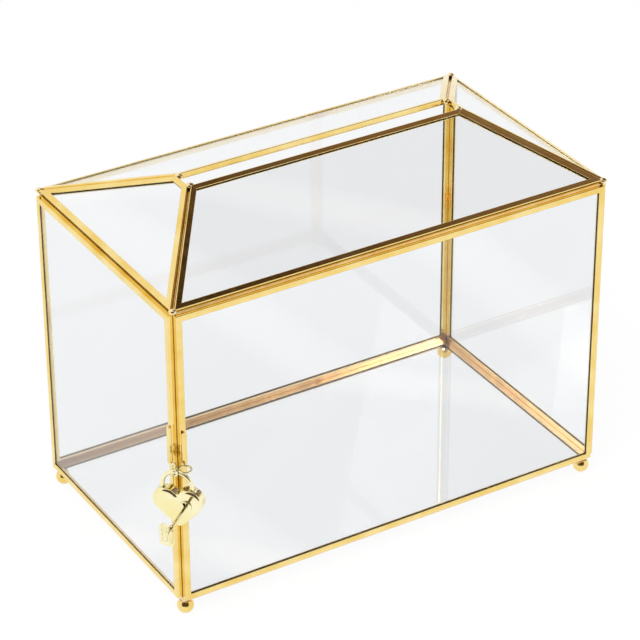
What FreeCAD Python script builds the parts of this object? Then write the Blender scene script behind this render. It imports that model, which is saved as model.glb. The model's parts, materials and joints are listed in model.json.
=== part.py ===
import FreeCAD, Part
import math
import os

# A glass card box edged in brass came, with a hip roof, a posting slot along the ridge,
# a hinged door at its left end and a heart padlock hung on the door's hasp.
# Millimetres. The origin is the middle of the footprint on the table, X runs along the
# front from left to right, Y towards the back and Z up.

# Box, measured between the inside edges where two panes meet
INNER_LENGTH = 254.0
INNER_WIDTH = 143.4
WALL_HEIGHT = 169.4
ROOF_RISE = 25.4
HIP_INSET = 46.5
SLOT_WIDTH = 11.5

# Brass came: a U-channel folded round the edge of each pane
CAME_THICKNESS = 3.0
CAME_DEPTH = 3.2
CAME_SHEET = 0.4
CAME_FOLD_RADIUS = 0.5
SOLDER_LEG = 1.0

# Glass
GLASS_THICKNESS = 2.0
GLASS_EDGE_GAP = 0.2

# Ball feet
FOOT_RADIUS = 4.45
FOOT_INSET = 2.6
FOOT_SEAT_DEPTH = 0.95
FOOT_FLAT_DEPTH = 0.15

# Door, the strips it closes against and its two hinges, which lie in the corner's groove
DOOR_GAP = 0.5
STOP_WIDTH = 1.7
STOP_THICKNESS = 1.0
STOP_CLEARANCE = 0.1
HINGE_END_INSET = 27.0
KNUCKLE_RADIUS = 0.85
KNUCKLE_LENGTH = 5.0
KNUCKLE_COUNT = 3
KNUCKLE_GAP = 0.3
BARREL_CLEARANCE = 0.15
LEAF_THICKNESS = 0.3
LEAF_WIDTH = 1.4
LEAF_SETBACK = 0.7
PIN_RADIUS = 0.4
PIN_CLEARANCE = 0.05
PIN_HEAD_RADIUS = 0.7
PIN_HEAD_HEIGHT = 0.5

# Hasp: a strap on each side of the front left corner, each with an eye at its lower end
STRAP_WIDTH = 2.8
STRAP_THICKNESS = 1.2
DOOR_STRAP_LENGTH = 22.5
FRAME_STRAP_LENGTH = 19.0
EYE_RADIUS = 3.2
EYE_WIRE_RADIUS = 0.6
EYE_SHANK_RADIUS = 0.55
FRAME_EYE_SIDE = 4.6
FRAME_EYE_SETBACK = 0.2
FRAME_EYE_GAP = 0.7

# Padlock: where its shackle's arch is centred, out from the corner and along it
LOCK_STANDOFF = 3.4
LOCK_SIDE = 1.7
LOCK_HEIGHT = 86.3
LOCK_TILT = -4.0
LOCK_FACING = 50.0
HANG_ANGLE = 100.0
HANG_GAP = 0.3

# Shackle
SHACKLE_ARCH_RADIUS = 7.8
SHACKLE_WIRE_RADIUS = 1.1
SHORT_LEG = 6.2
LONG_LEG = 11.8
LEG_CLEARANCE = 0.08
LEG_END_GAP = 0.5

# Heart-shaped case, seen from the front and measured from its middle
HEART_DROP = 12.0
LOBE_RADIUS = 7.1
LOBE_SPREAD = 6.2
LOBE_RISE = 3.5
NOTCH_RADIUS = 1.2
TIP_RADIUS = 3.2
TIP_DROP = 7.8
CASE_THICKNESS = 5.4
CASE_RIM_RADIUS = 1.8
BACK_PLATE_THICKNESS = 1.0
BACK_RIM_RADIUS = 0.5

# Key and keyhole
KEYHOLE_SIDE = 5.0
KEYHOLE_RISE = 2.2
KEY_SHAFT_RADIUS = 1.0
KEY_REACH = 26.0
KEY_TURN = 45.0
KEY_BIT_LENGTH = 2.1
KEY_BIT_THICKNESS = 0.9
KEY_COLLAR_RADIUS = 1.7
KEY_COLLAR_LENGTH = 1.4
KEY_COLLAR_SETBACK = 3.0
BOW_LOBE_RADIUS = 3.1
BOW_HOLE_RADIUS = 1.6
BOW_SPREAD = 3.2
BOW_THICKNESS = 1.6
BUSH_RADIUS = 3.0
BUSH_SEAT_DEPTH = 1.0
BUSH_PROUD = 0.8
KEYHOLE_CLEARANCE = 0.05
BIT_CLEARANCE = 0.25

# Latch bolt, which the key's bit carries sideways into the short leg
LATCH_THICKNESS = 1.6
LATCH_BAR_HEIGHT = 1.6
LATCH_LEG_GAP = 0.4
LATCH_LENGTH = 3.8
LATCH_BITE = 0.9
LATCH_HOOK = 1.0
LATCH_TALON_WIDTH = 2.2
LATCH_CLEARANCE = 0.2

# Levels and edges that follow from the sizes above
foot_height = 2 * FOOT_RADIUS - FOOT_SEAT_DEPTH - FOOT_FLAT_DEPTH
floor_z = foot_height + CAME_THICKNESS
eaves_z = floor_z + WALL_HEIGHT
ridge_z = eaves_z + ROOF_RISE
side_x = INNER_LENGTH / 2
side_y = INNER_WIDTH / 2
ridge_x = side_x - HIP_INSET
ridge_y = SLOT_WIDTH / 2

Z_AXIS = FreeCAD.Vector(0, 0, 1)


def vec(x, y, z):
    return FreeCAD.Vector(x, y, z)


def unit(vector):
    return FreeCAD.Vector(vector).normalize()


def face_of(points):
    return Part.Face(Part.makePolygon(points + [points[0]]))


def block(low, high):
    size = high - low
    return Part.makeBox(size.x, size.y, size.z, low)


def export(node, shape):
    shape.exportStep(os.path.join("parts", node + ".step"))


# Panes and cames

def normal_of(corners):
    return unit((corners[1] - corners[0]).cross(corners[2] - corners[0]))


def inset(corners, distance):
    """The same polygon with every edge moved inwards by a distance."""
    moved = []
    for index, corner in enumerate(corners):
        came_from = unit(corner - corners[index - 1])
        goes_to = unit(corners[(index + 1) % len(corners)] - corner)
        sine = came_from.cross(goes_to).Length
        moved.append(corner + (goes_to - came_from) * (distance / sine))
    return moved


def came_section(start, inward, outward):
    """A U-channel's section: its web on the pane's edge, both flanges reaching inwards."""

    def at(depth, height):
        return start + inward * depth + outward * height

    fold = CAME_FOLD_RADIUS
    fold_middle = fold * (1 - math.sqrt(0.5))
    top = CAME_THICKNESS
    fold_start = at(0, top - fold)
    fold_end = at(fold, top)
    edges = [
        Part.makeLine(at(0, 0), fold_start),
        Part.Arc(fold_start, at(fold_middle, top - fold_middle), fold_end).toShape(),
    ]
    rest = [
        fold_end,
        at(CAME_DEPTH, top),
        at(CAME_DEPTH, top - CAME_SHEET),
        at(CAME_SHEET, top - CAME_SHEET),
        at(CAME_SHEET, CAME_SHEET),
        at(CAME_DEPTH, CAME_SHEET),
        at(CAME_DEPTH, 0),
        at(0, 0),
    ]
    for first, second in zip(rest, rest[1:]):
        edges.append(Part.makeLine(first, second))
    return Part.Face(Part.Wire(edges))


def came(corners):
    """Four strips of channel, one on each edge, mitred where they meet."""
    outward = normal_of(corners)
    inner = inset(corners, CAME_DEPTH)
    strips = []
    for index, start in enumerate(corners):
        following = (index + 1) % len(corners)
        end = corners[following]
        inward = outward.cross(unit(end - start))
        strip = came_section(start, inward, outward).extrude(end - start)
        mitre = face_of([start, end, inner[following], inner[index]])
        strips.append(strip.common(mitre.extrude(outward * CAME_THICKNESS)))
    return Part.makeCompound([strip.Solids[0] for strip in strips])


def pane(corners):
    """The glass inside a came, clear of the web and midway between the flanges."""
    outward = normal_of(corners)
    outline = inset(corners, CAME_SHEET + GLASS_EDGE_GAP)
    lift = outward * ((CAME_THICKNESS - GLASS_THICKNESS) / 2)
    return face_of([corner + lift for corner in outline]).extrude(outward * GLASS_THICKNESS)


def corner(sign_x, sign_y, level):
    return vec(sign_x * side_x, sign_y * side_y, level)


def ridge_corner(sign_x, sign_y):
    return vec(sign_x * ridge_x, sign_y * ridge_y, ridge_z)


def wall(first, second):
    """An upright pane between two plan corners, given anticlockwise from above."""
    return [
        corner(*first, floor_z),
        corner(*second, floor_z),
        corner(*second, eaves_z),
        corner(*first, eaves_z),
    ]


def roof(first, second):
    return [
        corner(*first, eaves_z),
        corner(*second, eaves_z),
        ridge_corner(*second),
        ridge_corner(*first),
    ]


FRONT_LEFT = (-1, -1)
FRONT_RIGHT = (1, -1)
BACK_RIGHT = (1, 1)
BACK_LEFT = (-1, 1)

panels = {
    "base": [corner(*plan, floor_z) for plan in (FRONT_LEFT, BACK_LEFT, BACK_RIGHT, FRONT_RIGHT)],
    "front": wall(FRONT_LEFT, FRONT_RIGHT),
    "right": wall(FRONT_RIGHT, BACK_RIGHT),
    "back": wall(BACK_RIGHT, BACK_LEFT),
    "roof_front": roof(FRONT_LEFT, FRONT_RIGHT),
    "roof_right": roof(FRONT_RIGHT, BACK_RIGHT),
    "roof_back": roof(BACK_RIGHT, BACK_LEFT),
    "roof_left": roof(BACK_LEFT, FRONT_LEFT),
    "door": inset(wall(BACK_LEFT, FRONT_LEFT), DOOR_GAP),
}


# Solder

def solder_seam(first, second):
    """A fillet of solder in the groove between two panels' webs, along the edge they share."""
    shared = [a for a in panels[first] if any(a.isEqual(b, 1e-6) for b in panels[second])]
    start, end = shared
    section = face_of([
        start,
        start + normal_of(panels[first]) * SOLDER_LEG,
        start + normal_of(panels[second]) * SOLDER_LEG,
    ])
    return section.extrude(end - start)


SEAMS = [
    ("base", "front"),
    ("base", "right"),
    ("base", "back"),
    ("front", "right"),
    ("right", "back"),
    ("front", "roof_front"),
    ("right", "roof_right"),
    ("back", "roof_back"),
    ("roof_front", "roof_right"),
    ("roof_right", "roof_back"),
    ("roof_back", "roof_left"),
    ("roof_left", "roof_front"),
]


# Feet

def ball_foot(plan):
    """A brass ball, flat where it is soldered to the base came and where it stands."""
    middle = vec(
        plan[0] * (side_x - FOOT_INSET),
        plan[1] * (side_y - FOOT_INSET),
        FOOT_RADIUS - FOOT_FLAT_DEPTH,
    )
    south = -math.degrees(math.asin(1 - FOOT_FLAT_DEPTH / FOOT_RADIUS))
    north = math.degrees(math.asin(1 - FOOT_SEAT_DEPTH / FOOT_RADIUS))
    return Part.makeSphere(FOOT_RADIUS, middle, Z_AXIS, south, north, 360)


# Door stops

stop_x = -side_x + STOP_CLEARANCE


def top_door_stop():
    """A strip under the left roof came, behind the door's top edge."""
    low = vec(stop_x, -side_y, eaves_z - STOP_WIDTH)
    return block(low, vec(stop_x + STOP_THICKNESS, side_y, eaves_z))


def front_door_stop():
    """A strip on the front came, behind the door's free edge, up to the top strip."""
    low = vec(stop_x, -side_y, floor_z)
    return block(low, vec(stop_x + STOP_THICKNESS, -side_y + STOP_WIDTH, eaves_z - STOP_WIDTH))


# Hinges

barrel_offset = KNUCKLE_RADIUS + BARREL_CLEARANCE + LEAF_THICKNESS
hinge_axis = vec(-side_x - barrel_offset, side_y - DOOR_GAP + barrel_offset, 0)
hinge_length = KNUCKLE_COUNT * KNUCKLE_LENGTH
hinge_levels = {
    "upper": eaves_z - HINGE_END_INSET - hinge_length / 2,
    "lower": floor_z + HINGE_END_INSET - hinge_length / 2,
}


def knuckle_span(index):
    """The lowest and highest points of one knuckle above the hinge's lower end."""
    low = index * KNUCKLE_LENGTH
    high = low + KNUCKLE_LENGTH
    if index > 0:
        low += KNUCKLE_GAP / 2
    if index < KNUCKLE_COUNT - 1:
        high -= KNUCKLE_GAP / 2
    return low, high


def hinge_leaf(level, knuckles):
    """A leaf on the back came's web with its knuckles, round the hinge axis."""
    foot = hinge_axis + vec(0, 0, level)
    plate_x = barrel_offset - LEAF_THICKNESS
    plate_low = -LEAF_SETBACK
    plate_high = LEAF_WIDTH - LEAF_SETBACK
    leaf = block(
        foot + vec(plate_x, plate_low, 0),
        foot + vec(barrel_offset, plate_high, hinge_length),
    )
    for index in knuckles:
        low, high = knuckle_span(index)
        barrel = Part.makeCylinder(KNUCKLE_RADIUS, high - low, foot + vec(0, 0, low))
        tab = block(
            foot + vec(0, plate_high - LEAF_THICKNESS, low),
            foot + vec(plate_x, plate_high, high),
        )
        leaf = leaf.fuse([barrel, tab])
    bore = Part.makeCylinder(PIN_RADIUS + PIN_CLEARANCE, hinge_length, foot)
    return leaf.cut(bore).removeSplitter()


def door_leaf(level, knuckles):
    """The same leaf turned over the corner's diagonal, so that it lies on the door came's web."""
    return hinge_leaf(level, knuckles).mirror(hinge_axis, vec(1, 1, 0))


def hinge_pin(level):
    """A pin with a head at each end, spun over after it is put in."""
    foot = hinge_axis + vec(0, 0, level)
    pin = Part.makeCylinder(PIN_RADIUS, hinge_length, foot)
    top = Part.makeCylinder(PIN_HEAD_RADIUS, PIN_HEAD_HEIGHT, foot + vec(0, 0, hinge_length))
    bottom = Part.makeCylinder(PIN_HEAD_RADIUS, PIN_HEAD_HEIGHT, foot - vec(0, 0, PIN_HEAD_HEIGHT))
    return pin.fuse([top, bottom]).removeSplitter()


# Hasp

door_face_x = -side_x - CAME_THICKNESS
front_face_y = -side_y - CAME_THICKNESS
corner_point = vec(door_face_x, front_face_y, 0)
facing = math.radians(LOCK_FACING)
side_way = vec(math.cos(facing), -math.sin(facing), 0)
out_way = vec(-math.sin(facing), -math.cos(facing), 0)
arch_centre = (
    corner_point + side_way * LOCK_SIDE + out_way * LOCK_STANDOFF + Z_AXIS * LOCK_HEIGHT
)
arch_inside = SHACKLE_ARCH_RADIUS - SHACKLE_WIRE_RADIUS
arch_outside = SHACKLE_ARCH_RADIUS + SHACKLE_WIRE_RADIUS

# The shackle hangs on the door eye's wire where that wire crosses the arch's plane
hang_radius = arch_inside - EYE_WIRE_RADIUS - HANG_GAP
hang_angle = math.radians(HANG_ANGLE)
hang_point = (
    arch_centre
    + side_way * (hang_radius * math.cos(hang_angle))
    + Z_AXIS * (hang_radius * math.sin(hang_angle))
)
door_eye_centre = hang_point + Z_AXIS * EYE_RADIUS
frame_eye_centre = (
    arch_centre
    + side_way * FRAME_EYE_SIDE
    - out_way * FRAME_EYE_SETBACK
    + Z_AXIS * (arch_outside + FRAME_EYE_GAP + EYE_WIRE_RADIUS)
)
door_strap_y = -side_y + DOOR_GAP + CAME_DEPTH / 2
frame_strap_x = -side_x + CAME_DEPTH / 2


def strap(low, length, across, outward):
    """A flat strap with round ends, standing up from the middle of its lower end."""
    half = STRAP_WIDTH / 2
    straight = length - STRAP_WIDTH
    plate = face_of([
        low - across * half,
        low + across * half,
        low + across * half + Z_AXIS * straight,
        low - across * half + Z_AXIS * straight,
    ]).extrude(outward * STRAP_THICKNESS)
    ends = [
        Part.makeCylinder(half, STRAP_THICKNESS, end, outward)
        for end in (low, low + Z_AXIS * straight)
    ]
    return plate.fuse(ends).removeSplitter()


def hasp_eye(centre, seat, axis, strap_solid):
    """A wire eye round an axis, with a short shank that ends on its strap."""
    ring = Part.makeTorus(EYE_RADIUS, EYE_WIRE_RADIUS, centre, axis)
    way = unit(centre - seat)
    length = (centre - seat).Length - EYE_RADIUS
    shank = Part.makeCylinder(EYE_SHANK_RADIUS, length, seat, way)
    return ring.fuse(shank.cut(strap_solid)).removeSplitter()


door_strap_foot = vec(door_face_x, door_strap_y, door_eye_centre.z)
frame_strap_foot = vec(frame_strap_x, front_face_y, frame_eye_centre.z)
door_strap = strap(door_strap_foot, DOOR_STRAP_LENGTH, vec(0, 1, 0), vec(-1, 0, 0))
frame_strap = strap(frame_strap_foot, FRAME_STRAP_LENGTH, vec(1, 0, 0), vec(0, -1, 0))
door_eye_seat = door_strap_foot - vec(STRAP_THICKNESS / 2, 0, 0)
frame_eye_seat = frame_strap_foot - vec(0, STRAP_THICKNESS / 2, 0)
door_eye_axis = (door_eye_centre - door_eye_seat).cross(Z_AXIS)


# Padlock, drawn flat with X across its face, Y up the shackle and Z out of its front

upright = FreeCAD.Rotation(vec(1, 0, 0), 90)
turned = FreeCAD.Rotation(Z_AXIS, -LOCK_FACING)
tilted = FreeCAD.Rotation(Z_AXIS, -LOCK_TILT)
lock_place = FreeCAD.Placement(arch_centre, turned.multiply(upright).multiply(tilted))


def placed(shape):
    copy = shape.copy()
    copy.Placement = lock_place.multiply(copy.Placement)
    return copy


total_thickness = CASE_THICKNESS + BACK_PLATE_THICKNESS
back_z = -total_thickness / 2
case_back_z = back_z + BACK_PLATE_THICKNESS
front_z = case_back_z + CASE_THICKNESS
heart_centre = vec(0, -HEART_DROP, 0)


def around(centre, radius, angle):
    return centre + vec(radius * math.cos(angle), radius * math.sin(angle), 0)


def mirrored(point):
    return vec(-point.x, point.y, point.z)


def heart(level):
    """The case's outline: two lobes, a rounded notch, a rounded tip and tangent sides."""
    lobe = heart_centre + vec(LOBE_SPREAD, LOBE_RISE, level)
    tip = heart_centre + vec(0, -TIP_DROP, level)
    notch_rise = math.sqrt((LOBE_RADIUS + NOTCH_RADIUS) ** 2 - LOBE_SPREAD ** 2)
    notch = heart_centre + vec(0, LOBE_RISE + notch_rise, level)
    to_tip = tip - lobe
    side = math.atan2(to_tip.y, to_tip.x) + math.acos((LOBE_RADIUS - TIP_RADIUS) / to_tip.Length)
    top = math.atan2(notch_rise, -LOBE_SPREAD)
    lobe_start = around(lobe, LOBE_RADIUS, top)
    lobe_middle = around(lobe, LOBE_RADIUS, (top + side) / 2)
    lobe_end = around(lobe, LOBE_RADIUS, side)
    tip_start = around(tip, TIP_RADIUS, side)
    tip_middle = tip - vec(0, TIP_RADIUS, 0)
    notch_middle = notch - vec(0, NOTCH_RADIUS, 0)
    edges = [
        Part.Arc(lobe_start, lobe_middle, lobe_end).toShape(),
        Part.makeLine(lobe_end, tip_start),
        Part.Arc(tip_start, tip_middle, mirrored(tip_start)).toShape(),
        Part.makeLine(mirrored(tip_start), mirrored(lobe_end)),
        Part.Arc(mirrored(lobe_end), mirrored(lobe_middle), mirrored(lobe_start)).toShape(),
        Part.Arc(mirrored(lobe_start), notch_middle, lobe_start).toShape(),
    ]
    return Part.Face(Part.Wire(edges))


def round_rim(solid, level, radius):
    """Rounds the edges that lie at one level, seen from the side."""
    rim = [
        edge
        for edge in solid.Edges
        if abs(edge.BoundBox.ZMin - level) < 1e-6 and abs(edge.BoundBox.ZMax - level) < 1e-6
    ]
    return solid.makeFillet(radius, rim)


key_centre = heart_centre + vec(KEYHOLE_SIDE, KEYHOLE_RISE, 0)
key_rest = KEY_TURN / 2
latch_travel = 2 * KEY_BIT_LENGTH * math.sin(math.radians(KEY_TURN / 2))
latch_back_z = -LATCH_THICKNESS / 2
short_leg_side = SHACKLE_ARCH_RADIUS - SHACKLE_WIRE_RADIUS
latch_right = short_leg_side - LATCH_LEG_GAP
latch_left = latch_right - LATCH_LENGTH
bar_low = LATCH_HOOK - SHORT_LEG
bar_high = bar_low + LATCH_BAR_HEIGHT
talon_low = key_centre.y + KEY_BIT_LENGTH - LATCH_BITE
talon_high = key_centre.y + KEY_BIT_LENGTH + 2 * LATCH_CLEARANCE
talon_middle = key_centre.x - latch_travel / 2
chamber_radius = math.hypot(KEY_BIT_LENGTH, KEY_BIT_THICKNESS / 2) + BIT_CLEARANCE
pocket_front_z = LATCH_THICKNESS / 2 + LATCH_CLEARANCE


def keyhole(low_z, high_z):
    """The hole for the key's shaft with the slit its bit is put in through."""
    depth = high_z - low_z
    hole = Part.makeCylinder(KEY_SHAFT_RADIUS + KEYHOLE_CLEARANCE, depth, vec(0, 0, low_z))
    half = KEY_BIT_THICKNESS / 2 + BIT_CLEARANCE
    slit = block(vec(-half, 0, low_z), vec(half, KEY_BIT_LENGTH + BIT_CLEARANCE, high_z))
    shape = hole.fuse(slit)
    shape.rotate(vec(0, 0, 0), Z_AXIS, key_rest)
    shape.translate(key_centre)
    return shape


def lock_case():
    body = round_rim(heart(case_back_z).extrude(Z_AXIS * CASE_THICKNESS), front_z, CASE_RIM_RADIUS)
    leg_radius = SHACKLE_WIRE_RADIUS + LEG_CLEARANCE
    bores = []
    for side, leg in ((-1, LONG_LEG), (1, SHORT_LEG)):
        foot = vec(side * SHACKLE_ARCH_RADIUS, -leg - LEG_END_GAP, 0)
        bores.append(Part.makeCylinder(leg_radius, leg + LEG_END_GAP, foot, vec(0, 1, 0)))
    pocket = block(
        vec(latch_left - LATCH_CLEARANCE, talon_low - LATCH_CLEARANCE, case_back_z),
        vec(
            latch_right + latch_travel + LATCH_CLEARANCE,
            bar_high + LATCH_CLEARANCE,
            pocket_front_z,
        ),
    )
    chamber_foot = vec(key_centre.x, key_centre.y, case_back_z)
    chamber = Part.makeCylinder(chamber_radius, pocket_front_z - case_back_z, chamber_foot)
    seat_foot = vec(key_centre.x, key_centre.y, front_z - BUSH_SEAT_DEPTH)
    seat = Part.makeCylinder(BUSH_RADIUS, BUSH_SEAT_DEPTH, seat_foot)
    hole = keyhole(pocket_front_z, front_z)
    return body.cut(bores + [pocket, chamber, seat, hole]).removeSplitter()


def lock_back_plate():
    plate = heart(back_z).extrude(Z_AXIS * BACK_PLATE_THICKNESS)
    return round_rim(plate, back_z, BACK_RIM_RADIUS)


def keyhole_bush():
    low_z = front_z - BUSH_SEAT_DEPTH
    high_z = front_z + BUSH_PROUD
    foot = vec(key_centre.x, key_centre.y, low_z)
    bush = Part.makeCylinder(BUSH_RADIUS, high_z - low_z, foot)
    bush = round_rim(bush, high_z, BUSH_PROUD / 2)
    return bush.cut(keyhole(low_z, high_z)).removeSplitter()


def shackle():
    """A round bar bent into an arch, with the latch's notch cut in its short leg."""
    arch = Part.makeTorus(
        SHACKLE_ARCH_RADIUS, SHACKLE_WIRE_RADIUS, vec(0, 0, 0), Z_AXIS, -180, 180, 180
    )
    legs = []
    for side, leg in ((-1, LONG_LEG), (1, SHORT_LEG)):
        foot = vec(side * SHACKLE_ARCH_RADIUS, -leg, 0)
        legs.append(Part.makeCylinder(SHACKLE_WIRE_RADIUS, leg, foot, vec(0, 1, 0)))
    notch = block(
        vec(0, bar_low - LATCH_CLEARANCE, -SHACKLE_WIRE_RADIUS),
        vec(
            latch_right + latch_travel + LATCH_CLEARANCE,
            bar_high + LATCH_CLEARANCE,
            SHACKLE_WIRE_RADIUS,
        ),
    )
    return arch.fuse(legs).removeSplitter().cut(notch)


def latch():
    """A bolt with a talon below it, which straddles the key's bit."""
    front = vec(0, 0, LATCH_THICKNESS)
    bolt = block(
        vec(latch_left, talon_low, latch_back_z),
        vec(latch_right, bar_high, latch_back_z) + front,
    )
    half = LATCH_TALON_WIDTH / 2
    talon = block(
        vec(talon_middle - half, talon_low, latch_back_z),
        vec(talon_middle + half, talon_high, latch_back_z) + front,
    )
    leg_room = block(
        vec(
            short_leg_side - LATCH_CLEARANCE - latch_travel,
            -SHORT_LEG - LATCH_CLEARANCE,
            latch_back_z,
        ),
        vec(latch_right, bar_low, latch_back_z) + front,
    )
    return bolt.cut([talon, leg_room])


def key():
    """A round shaft with a bit at its tip, a collar and a pierced trefoil bow."""
    tip_z = latch_back_z
    bow_z = front_z + KEY_REACH
    shaft = Part.makeCylinder(KEY_SHAFT_RADIUS, bow_z - tip_z, vec(0, 0, tip_z))
    half = KEY_BIT_THICKNESS / 2
    bit = block(vec(-half, 0, tip_z), vec(half, KEY_BIT_LENGTH, tip_z + LATCH_THICKNESS))
    collar_z = bow_z - KEY_COLLAR_SETBACK - BOW_LOBE_RADIUS
    collar = Part.makeCylinder(KEY_COLLAR_RADIUS, KEY_COLLAR_LENGTH, vec(0, 0, collar_z))
    left = vec(-BOW_THICKNESS / 2, 0, 0)
    lobes = []
    holes = []
    for side in (-1, 0, 1):
        rise = BOW_SPREAD if side == 0 else 0
        middle = vec(0, side * BOW_SPREAD, bow_z + rise)
        lobes.append(Part.makeCylinder(BOW_LOBE_RADIUS, BOW_THICKNESS, middle + left, vec(1, 0, 0)))
        holes.append(Part.makeCylinder(BOW_HOLE_RADIUS, BOW_THICKNESS, middle + left, vec(1, 0, 0)))
    bow = lobes[0].fuse(lobes[1:])
    whole = shaft.fuse([bit, collar, bow]).removeSplitter().cut(holes)
    whole.rotate(vec(0, 0, 0), Z_AXIS, key_rest)
    whole.translate(key_centre)
    return whole


os.makedirs("parts", exist_ok=True)

for name, corners in panels.items():
    export(name + "_pane", pane(corners))
    export(name + "_came", came(corners))

export("solder_seams", Part.makeCompound([solder_seam(*pair) for pair in SEAMS]))

for name, plan in (
    ("front_left", FRONT_LEFT),
    ("front_right", FRONT_RIGHT),
    ("back_left", BACK_LEFT),
    ("back_right", BACK_RIGHT),
):
    export("foot_" + name, ball_foot(plan))

outer_knuckles = range(0, KNUCKLE_COUNT, 2)
inner_knuckles = range(1, KNUCKLE_COUNT, 2)
for name, level in hinge_levels.items():
    export("hinge_" + name + "_frame_leaf", hinge_leaf(level, outer_knuckles))
    export("hinge_" + name + "_door_leaf", door_leaf(level, inner_knuckles))
    export("hinge_" + name + "_pin", hinge_pin(level))

export("door_stop_top", top_door_stop())
export("door_stop_front", front_door_stop())

export("door_hasp_strap", door_strap)
export("door_hasp_eye", hasp_eye(door_eye_centre, door_eye_seat, door_eye_axis, door_strap))
export("frame_hasp_strap", frame_strap)
export("frame_hasp_eye", hasp_eye(frame_eye_centre, frame_eye_seat, Z_AXIS, frame_strap))

export("lock_shackle", placed(shackle()))
export("lock_case", placed(lock_case()))
export("lock_back_plate", placed(lock_back_plate()))
export("keyhole_bush", placed(keyhole_bush()))
export("lock_latch", placed(latch()))
export("key", placed(key()))
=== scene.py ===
import json

import bmesh
import bpy
from mathutils import Matrix, Vector, noise


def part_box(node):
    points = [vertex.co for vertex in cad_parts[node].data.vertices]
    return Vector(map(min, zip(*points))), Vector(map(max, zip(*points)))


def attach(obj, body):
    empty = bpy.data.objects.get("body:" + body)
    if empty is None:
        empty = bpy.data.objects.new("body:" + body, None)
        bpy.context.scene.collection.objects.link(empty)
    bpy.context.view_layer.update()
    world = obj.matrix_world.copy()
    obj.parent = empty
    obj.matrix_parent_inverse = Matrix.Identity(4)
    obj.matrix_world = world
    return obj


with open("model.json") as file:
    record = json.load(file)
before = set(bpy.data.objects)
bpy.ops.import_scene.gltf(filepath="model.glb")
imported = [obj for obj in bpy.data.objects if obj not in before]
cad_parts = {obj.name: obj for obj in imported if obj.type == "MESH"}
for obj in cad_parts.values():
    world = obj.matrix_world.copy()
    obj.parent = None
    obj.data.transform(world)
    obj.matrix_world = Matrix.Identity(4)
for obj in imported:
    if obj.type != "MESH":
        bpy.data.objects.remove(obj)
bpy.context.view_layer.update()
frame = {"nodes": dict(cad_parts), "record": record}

# Metres throughout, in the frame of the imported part.

# Camera, a long lens looking down on the front left corner
CAMERA_PLACE = Vector((-0.6889, -1.1475, 0.9062))
CAMERA_LOOK = Vector((0.4403, 0.7349, -0.5157))
CAMERA_RIGHT = Vector((0.8565, -0.5162, -0.0046))
CAMERA_LENS = 164.6
CAMERA_SENSOR = 36.0

# Stage: the room is white, darker where a direction comes near a given way
FLOOR_HALF_SIZE = 6.0
FLOOR_DROP = 0.0002
FLOOR_COLOUR = (0.86, 0.86, 0.86, 1)
FLOOR_GLOW_SHARE = 0.94
STUDIO_WALL = (1.0, 0.99, 0.97, 1)
STUDIO_FRONT = (0.10, 0.070, 0.045, 1)
STUDIO_CEILING = (0.050, 0.030, 0.016, 1)
STUDIO_BROWN = (0.24, 0.155, 0.13, 1)
CEILING_WAY = Vector((0.70, 0.15, 0.70))
CEILING_EDGE = 0.81
CEILING_FULL = 0.87
FRONT_WAY = Vector((-0.44, -0.735, 0.516))
FRONT_EDGE = 0.62
FRONT_FULL = 0.70
BROWN_WAY = Vector((1, 1, 0))
BROWN_EDGE = 0.66
BROWN_FULL = 0.73
WHITE = (1, 1, 1, 1)

# Lamps: place, what they point at, size and power
AIM = Vector((0, 0, 0.1))
KEY_LAMP_PLACE = Vector((-0.9, -0.7, 1.6))
KEY_LAMP_SIZE = 0.9
KEY_LAMP_POWER = 28.0
FILL_LAMP_PLACE = Vector((1.3, -1.0, 1.1))
FILL_LAMP_SIZE = 1.0
FILL_LAMP_POWER = 16.0
BACK_LAMP_PLACE = Vector((-1.3, 1.2, 0.8))
BACK_LAMP_SIZE = 0.8
BACK_LAMP_POWER = 8.0

# Finishes
BRASS_COLOUR = (0.88, 0.63, 0.18, 1)
BRASS_PALE = (0.95, 0.76, 0.33, 1)
# Brass crevice colour: partly patina in the grooves, partly painted shade where the grooves fall dark
BRASS_PATINA_AND_SHADE = (0.16, 0.060, 0.008, 1)
# Paler brass low inside the box: a painted reflection
BRASS_INNER_REFLECTION = (0.87, 0.66, 0.42, 1)
GOLD_COLOUR = (0.94, 0.84, 0.42, 1)
GOLD_PALE = (0.98, 0.93, 0.68, 1)
# Lock crevice colour: painted shade, near black in the lock's hollows
GOLD_CREVICE_SHADE = (0.030, 0.015, 0.004, 1)
SOLDER_COLOUR = (0.95, 0.74, 0.36, 1)
SOLDER_PALE = (0.98, 0.84, 0.55, 1)
SEAM_COLOUR = (0.78, 0.52, 0.19, 1)
SEAM_PALE = (0.90, 0.66, 0.31, 1)
GLASS_COLOUR = (0.925, 0.935, 0.945, 1)
GLASS_IOR = 1.46
# Where that painted reflection lies: margin and height of the low inside edging
INSIDE_MARGIN = 0.00005
INNER_HEIGHT = 0.0045
# Crevice darkening: ambient occlusion paints shade into hollows (on the brass, patina too)
CAME_CREVICE = 0.0012
LOCK_CREVICE = 0.0030
EDGE_ROUNDING = 0.0004
ROUNDING_SAMPLES = 6
CREVICE_SAMPLES = 8
CREVICE_DARK = 0.22
CREVICE_UNSHADED = 0.62
CLOUD_SCALE = 55.0
CLOUD_DETAIL = 4.0
SMEAR_SCALE = 240.0
SMEAR_DETAIL = 3.0
SMEAR_ROUGHNESS = 0.10
MARK_SCALE = 900.0
MARK_DETAIL = 2.0
MARK_DEPTH = 0.0002
CAME_ROUGHNESS = 0.07
SEAM_ROUGHNESS = 0.12
LOCK_ROUGHNESS = 0.05
DROP_ROUGHNESS = 0.15
METAL_GRAIN = 0.03
DROP_GRAIN = 0.10
WIPE_SCALE = 14.0
WIPE_DETAIL = 5.0
WIPE_STRETCH = (1.0, 1.0, 3.0)
WIPE_ROUGHNESS = 0.001
STREAK_COLOUR = (0.985, 0.985, 0.985, 1)
STREAK_SCALE = 2.4
STREAK_DISTORTION = 0.6
STREAK_START = 0.90

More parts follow.
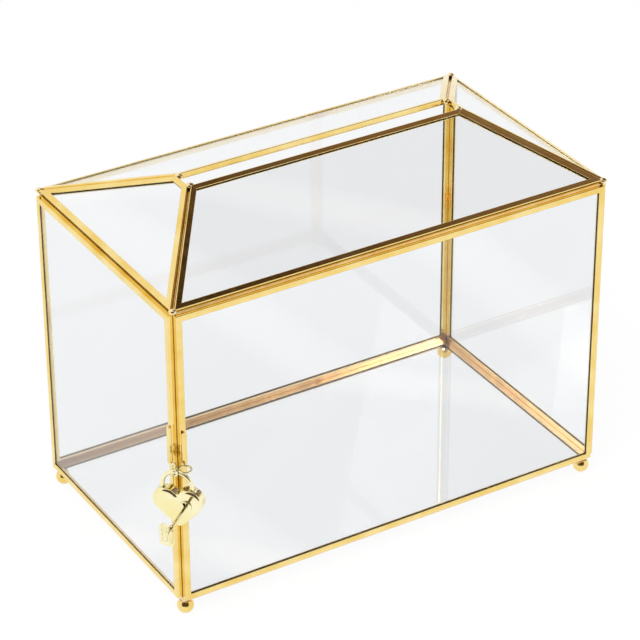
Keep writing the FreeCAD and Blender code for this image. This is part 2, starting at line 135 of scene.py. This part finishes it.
# Solder drops at the corners
DROP_RADIUS = 0.0021
DROP_SUBDIVISIONS = 3
DROP_LUMP = 0.00035
DROP_LUMP_SCALE = 420.0
DROP_FLATNESS = 0.75
DROP_OVERHANG = 0.0004
DROP_SINK = 0.0008


def new_tree(name):
    """A material with an empty node tree and its output."""
    material = bpy.data.materials.new(name)
    material.use_nodes = True
    tree = material.node_tree
    tree.nodes.clear()
    output = tree.nodes.new("ShaderNodeOutputMaterial")
    return material, tree, output


def noise_node(tree, scale, detail, stretch=(1, 1, 1)):
    """Noise in the part's own coordinates, stretched along chosen axes."""
    place = tree.nodes.new("ShaderNodeTexCoord")
    mapping = tree.nodes.new("ShaderNodeMapping")
    mapping.inputs["Scale"].default_value = stretch
    pattern = tree.nodes.new("ShaderNodeTexNoise")
    pattern.inputs["Scale"].default_value = scale
    pattern.inputs["Detail"].default_value = detail
    tree.links.new(place.outputs["Object"], mapping.inputs["Vector"])
    tree.links.new(mapping.outputs["Vector"], pattern.inputs["Vector"])
    return pattern.outputs["Fac"]


def map_range(tree, value, low, high, out_low, out_high):
    node = tree.nodes.new("ShaderNodeMapRange")
    node.inputs["From Min"].default_value = low
    node.inputs["From Max"].default_value = high
    node.inputs["To Min"].default_value = out_low
    node.inputs["To Max"].default_value = out_high
    tree.links.new(value, node.inputs["Value"])
    return node.outputs["Result"]


def mix_colour(tree, share, first, second):
    """Blends two colours, each a constant or another node's output."""
    node = tree.nodes.new("ShaderNodeMix")
    node.data_type = "RGBA"
    tree.links.new(share, node.inputs["Factor"])
    for socket, colour in ((node.inputs[6], first), (node.inputs[7], second)):
        if isinstance(colour, tuple):
            socket.default_value = colour
        else:
            tree.links.new(colour, socket)
    return node.outputs[2]


def painted_reflection_area(tree):
    """Mask for a painted reflection: 1 on the edging low down inside the box, by its floor, and 0
    elsewhere.
    """
    low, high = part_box("front_came")
    room = Vector((high[0] + INSIDE_MARGIN, INSIDE_MARGIN - high[1], INNER_HEIGHT))
    middle = Vector((0, 0, low[2]))
    place = tree.nodes.new("ShaderNodeTexCoord")
    from_middle = tree.nodes.new("ShaderNodeVectorMath")
    from_middle.operation = "SUBTRACT"
    from_middle.inputs[1].default_value = middle
    tree.links.new(place.outputs["Object"], from_middle.inputs[0])
    away = tree.nodes.new("ShaderNodeVectorMath")
    away.operation = "ABSOLUTE"
    tree.links.new(from_middle.outputs["Vector"], away.inputs[0])
    split = tree.nodes.new("ShaderNodeSeparateXYZ")
    tree.links.new(away.outputs["Vector"], split.inputs["Vector"])
    share = None
    for axis, limit in zip("XYZ", room):
        within = tree.nodes.new("ShaderNodeMath")
        within.operation = "LESS_THAN"
        within.inputs[1].default_value = limit
        tree.links.new(split.outputs[axis], within.inputs[0])
        if share is None:
            share = within.outputs["Value"]
            continue
        both = tree.nodes.new("ShaderNodeMath")
        both.operation = "MULTIPLY"
        tree.links.new(share, both.inputs[0])
        tree.links.new(within.outputs["Value"], both.inputs[1])
        share = both.outputs["Value"]
    return share


def polished_metal(name, colour, pale, patina_and_shade, roughness, grain, crevice_size, inner_reflection=None):
    """Polished metal with uneven plating, crevices darkened by painted shade and patina, a painted
    reflection low inside the box when given, and fine polishing marks.
    """
    material, tree, output = new_tree(name)
    shader = tree.nodes.new("ShaderNodeBsdfPrincipled")
    shader.inputs["Metallic"].default_value = 1.0
    clouds = map_range(tree, noise_node(tree, CLOUD_SCALE, CLOUD_DETAIL), 0.35, 0.65, 0.0, 1.0)
    plating = mix_colour(tree, clouds, colour, pale)
    # Painted reflection: paler brass on the edging low inside the box
    if inner_reflection:
        plating = mix_colour(tree, painted_reflection_area(tree), plating, inner_reflection)
    # Painted shade: ambient occlusion darkens hollows towards the crevice colour
    crevice = tree.nodes.new("ShaderNodeAmbientOcclusion")
    crevice.inputs["Distance"].default_value = crevice_size
    crevice.samples = CREVICE_SAMPLES
    crevice_shade = map_range(tree, crevice.outputs["AO"], CREVICE_DARK, CREVICE_UNSHADED, 1.0, 0.0)
    tree.links.new(mix_colour(tree, crevice_shade, plating, patina_and_shade), shader.inputs["Base Color"])
    smears = noise_node(tree, SMEAR_SCALE, SMEAR_DETAIL)
    tree.links.new(
        map_range(tree, smears, 0.3, 0.7, roughness, roughness + SMEAR_ROUGHNESS),
        shader.inputs["Roughness"],
    )
    rounding = tree.nodes.new("ShaderNodeBevel")
    rounding.samples = ROUNDING_SAMPLES
    rounding.inputs["Radius"].default_value = EDGE_ROUNDING
    bump = tree.nodes.new("ShaderNodeBump")
    bump.inputs["Strength"].default_value = grain
    bump.inputs["Distance"].default_value = MARK_DEPTH
    tree.links.new(noise_node(tree, MARK_SCALE, MARK_DETAIL), bump.inputs["Height"])
    tree.links.new(rounding.outputs["Normal"], bump.inputs["Normal"])
    tree.links.new(bump.outputs["Normal"], shader.inputs["Normal"])
    tree.links.new(shader.outputs["BSDF"], output.inputs["Surface"])
    return material


def clear_glass(name):
    """Float glass with a trace of tint, faint smears of wiping and thin slanting streaks."""
    material, tree, output = new_tree(name)
    shader = tree.nodes.new("ShaderNodeBsdfPrincipled")
    shader.inputs["Transmission Weight"].default_value = 1.0
    shader.inputs["IOR"].default_value = GLASS_IOR
    wiped = noise_node(tree, WIPE_SCALE, WIPE_DETAIL, WIPE_STRETCH)
    tree.links.new(map_range(tree, wiped, 0.5, 0.8, 0.0, WIPE_ROUGHNESS), shader.inputs["Roughness"])
    place = tree.nodes.new("ShaderNodeTexCoord")
    streaks = tree.nodes.new("ShaderNodeTexWave")
    streaks.bands_direction = "DIAGONAL"
    streaks.inputs["Scale"].default_value = STREAK_SCALE
    streaks.inputs["Distortion"].default_value = STREAK_DISTORTION
    tree.links.new(place.outputs["Object"], streaks.inputs["Vector"])
    bright = map_range(tree, streaks.outputs["Fac"], STREAK_START, 1.0, 0.0, 1.0)
    tree.links.new(mix_colour(tree, bright, GLASS_COLOUR, STREAK_COLOUR), shader.inputs["Base Color"])
    tree.links.new(shader.outputs["BSDF"], output.inputs["Surface"])
    return material


def background_rays(tree):
    """1 where a ray that shows the background arrives: straight, mirrored or through glass."""
    path = tree.nodes.new("ShaderNodeLightPath")
    total = path.outputs["Is Camera Ray"]
    for other in ("Is Glossy Ray", "Is Transmission Ray"):
        node = tree.nodes.new("ShaderNodeMath")
        node.operation = "MAXIMUM"
        tree.links.new(total, node.inputs[0])
        tree.links.new(path.outputs[other], node.inputs[1])
        total = node.outputs["Value"]
    return total


def floor_material():
    """A pale floor that shows white with the part's soft shadow on it."""
    material, tree, output = new_tree("studio_floor")
    paint = tree.nodes.new("ShaderNodeBsdfDiffuse")
    paint.inputs["Color"].default_value = FLOOR_COLOUR
    glow = tree.nodes.new("ShaderNodeEmission")
    glow.inputs["Color"].default_value = WHITE
    share = tree.nodes.new("ShaderNodeMath")
    share.operation = "MULTIPLY"
    share.inputs[1].default_value = FLOOR_GLOW_SHARE
    tree.links.new(background_rays(tree), share.inputs[0])
    mix = tree.nodes.new("ShaderNodeMixShader")
    tree.links.new(share.outputs["Value"], mix.inputs["Fac"])
    tree.links.new(paint.outputs["BSDF"], mix.inputs[1])
    tree.links.new(glow.outputs["Emission"], mix.inputs[2])
    tree.links.new(mix.outputs["Shader"], output.inputs["Surface"])
    return material


def facing(tree, direction, way, edge, full):
    """Rises from 0 to 1 as a direction comes nearer to a given way."""
    node = tree.nodes.new("ShaderNodeVectorMath")
    node.operation = "DOT_PRODUCT"
    node.inputs[1].default_value = way
    tree.links.new(direction, node.inputs[0])
    return map_range(tree, node.outputs["Value"], edge, full, 0.0, 1.0)


def studio_world():
    """A plain room that every ray sees alike: white walls, a dark ceiling and a dark front."""
    world = bpy.data.worlds.new("studio")
    bpy.context.scene.world = world
    world.use_nodes = True
    tree = world.node_tree
    tree.nodes.clear()
    output = tree.nodes.new("ShaderNodeOutputWorld")
    place = tree.nodes.new("ShaderNodeTexCoord")
    front = facing(tree, place.outputs["Generated"], FRONT_WAY, FRONT_EDGE, FRONT_FULL)
    ceiling = facing(tree, place.outputs["Generated"], CEILING_WAY, CEILING_EDGE, CEILING_FULL)
    brown = facing(tree, place.outputs["Generated"], BROWN_WAY, BROWN_EDGE, BROWN_FULL)
    walls = mix_colour(tree, front, STUDIO_WALL, STUDIO_FRONT)
    overhead = mix_colour(tree, brown, STUDIO_CEILING, STUDIO_BROWN)
    studio = mix_colour(tree, ceiling, walls, overhead)
    sky = tree.nodes.new("ShaderNodeBackground")
    tree.links.new(studio, sky.inputs["Color"])
    tree.links.new(sky.outputs["Background"], output.inputs["Surface"])


def add_lamp(name, place, size, power):
    data = bpy.data.lights.new(name, "AREA")
    data.shape = "RECTANGLE"
    data.size = size
    data.size_y = size
    data.energy = power
    lamp = bpy.data.objects.new(name, data)
    lamp.location = place
    lamp.visible_glossy = False
    lamp.rotation_euler = (AIM - place).to_track_quat("-Z", "Y").to_euler()
    bpy.context.scene.collection.objects.link(lamp)


def add_floor():
    mesh = bpy.data.meshes.new("floor")
    half = FLOOR_HALF_SIZE
    corners = [(-half, -half), (half, -half), (half, half), (-half, half)]
    mesh.from_pydata([(x, y, -FLOOR_DROP) for x, y in corners], [], [(0, 1, 2, 3)])
    floor = bpy.data.objects.new("floor", mesh)
    bpy.context.scene.collection.objects.link(floor)
    floor.data.materials.append(floor_material())


def add_camera():
    data = bpy.data.cameras.new("camera")
    data.lens = CAMERA_LENS
    data.sensor_width = CAMERA_SENSOR
    camera = bpy.data.objects.new("camera", data)
    back = -CAMERA_LOOK.normalized()
    up = back.cross(CAMERA_RIGHT).normalized()
    right = up.cross(back)
    turn = Matrix((right, up, back)).transposed()
    camera.matrix_world = Matrix.Translation(CAMERA_PLACE) @ turn.to_4x4()
    bpy.context.scene.collection.objects.link(camera)
    bpy.context.scene.camera = camera


def mesh_piece(name, build, material, body):
    """A new mesh from a bmesh, smooth, in its finish and riding on a body."""
    mesh = bpy.data.meshes.new(name)
    build.to_mesh(mesh)
    build.free()
    mesh.materials.append(material)
    for polygon in mesh.polygons:
        polygon.use_smooth = True
    piece = bpy.data.objects.new(name, mesh)
    bpy.context.scene.collection.objects.link(piece)
    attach(piece, body)


def solder_drop(build, centre):
    """A flattened lump of solder, uneven as it set."""
    made = bmesh.ops.create_icosphere(build, subdivisions=DROP_SUBDIVISIONS, radius=DROP_RADIUS)
    for vertex in made["verts"]:
        place = vertex.co.copy()
        lump = noise.noise((centre + place) * DROP_LUMP_SCALE) * DROP_LUMP
        place += place.normalized() * lump
        place.z *= DROP_FLATNESS
        vertex.co = centre + place


def add_solder_drops():
    """A drop on each corner of the eaves and the ridge, clear of the door."""
    front_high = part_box("front_came")[1]
    ridge_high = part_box("roof_front_came")[1]
    ridge_x = -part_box("roof_left_came")[1][0]
    drop_height = DROP_RADIUS * DROP_FLATNESS + DROP_LUMP
    plan_x = front_high[0] + DROP_OVERHANG
    plan_y = -front_high[1] + DROP_OVERHANG
    spots = [
        (plan_x, plan_y, front_high[2] + drop_height),
        (ridge_x, -ridge_high[1], ridge_high[2] - DROP_SINK),
    ]
    build = bmesh.new()
    for x, y, z in spots:
        for sign_x in (-1, 1):
            for sign_y in (-1, 1):
                solder_drop(build, Vector((sign_x * x, sign_y * y, z)))
    finish = polished_metal(
        "solder_drop", SOLDER_COLOUR, SOLDER_PALE, BRASS_PATINA_AND_SHADE, DROP_ROUGHNESS, DROP_GRAIN, CAME_CREVICE
    )
    mesh_piece("solder_drops", build, finish, "frame")


materials = {
    "glass": clear_glass("clear_glass"),
    "brass_came": polished_metal(
        "brass_came",
        BRASS_COLOUR,
        BRASS_PALE,
        BRASS_PATINA_AND_SHADE,
        CAME_ROUGHNESS,
        METAL_GRAIN,
        CAME_CREVICE,
        BRASS_INNER_REFLECTION,
    ),
    "solder": polished_metal(
        "solder", SEAM_COLOUR, SEAM_PALE, BRASS_PATINA_AND_SHADE, SEAM_ROUGHNESS, METAL_GRAIN, CAME_CREVICE
    ),
    "lock_gold": polished_metal(
        "lock_gold", GOLD_COLOUR, GOLD_PALE, GOLD_CREVICE_SHADE, LOCK_ROUGHNESS, METAL_GRAIN, LOCK_CREVICE
    ),
}

for subpart in frame["record"]["subparts"]:
    node = frame["nodes"][subpart["node"]]
    node.data.materials.clear()
    node.data.materials.append(materials[subpart["material_slot"]])

add_solder_drops()

studio_world()
add_floor()
add_lamp("key_lamp", KEY_LAMP_PLACE, KEY_LAMP_SIZE, KEY_LAMP_POWER)
add_lamp("fill_lamp", FILL_LAMP_PLACE, FILL_LAMP_SIZE, FILL_LAMP_POWER)
add_lamp("back_lamp", BACK_LAMP_PLACE, BACK_LAMP_SIZE, BACK_LAMP_POWER)
add_camera()

scene = bpy.context.scene
scene.view_settings.view_transform = "Standard"
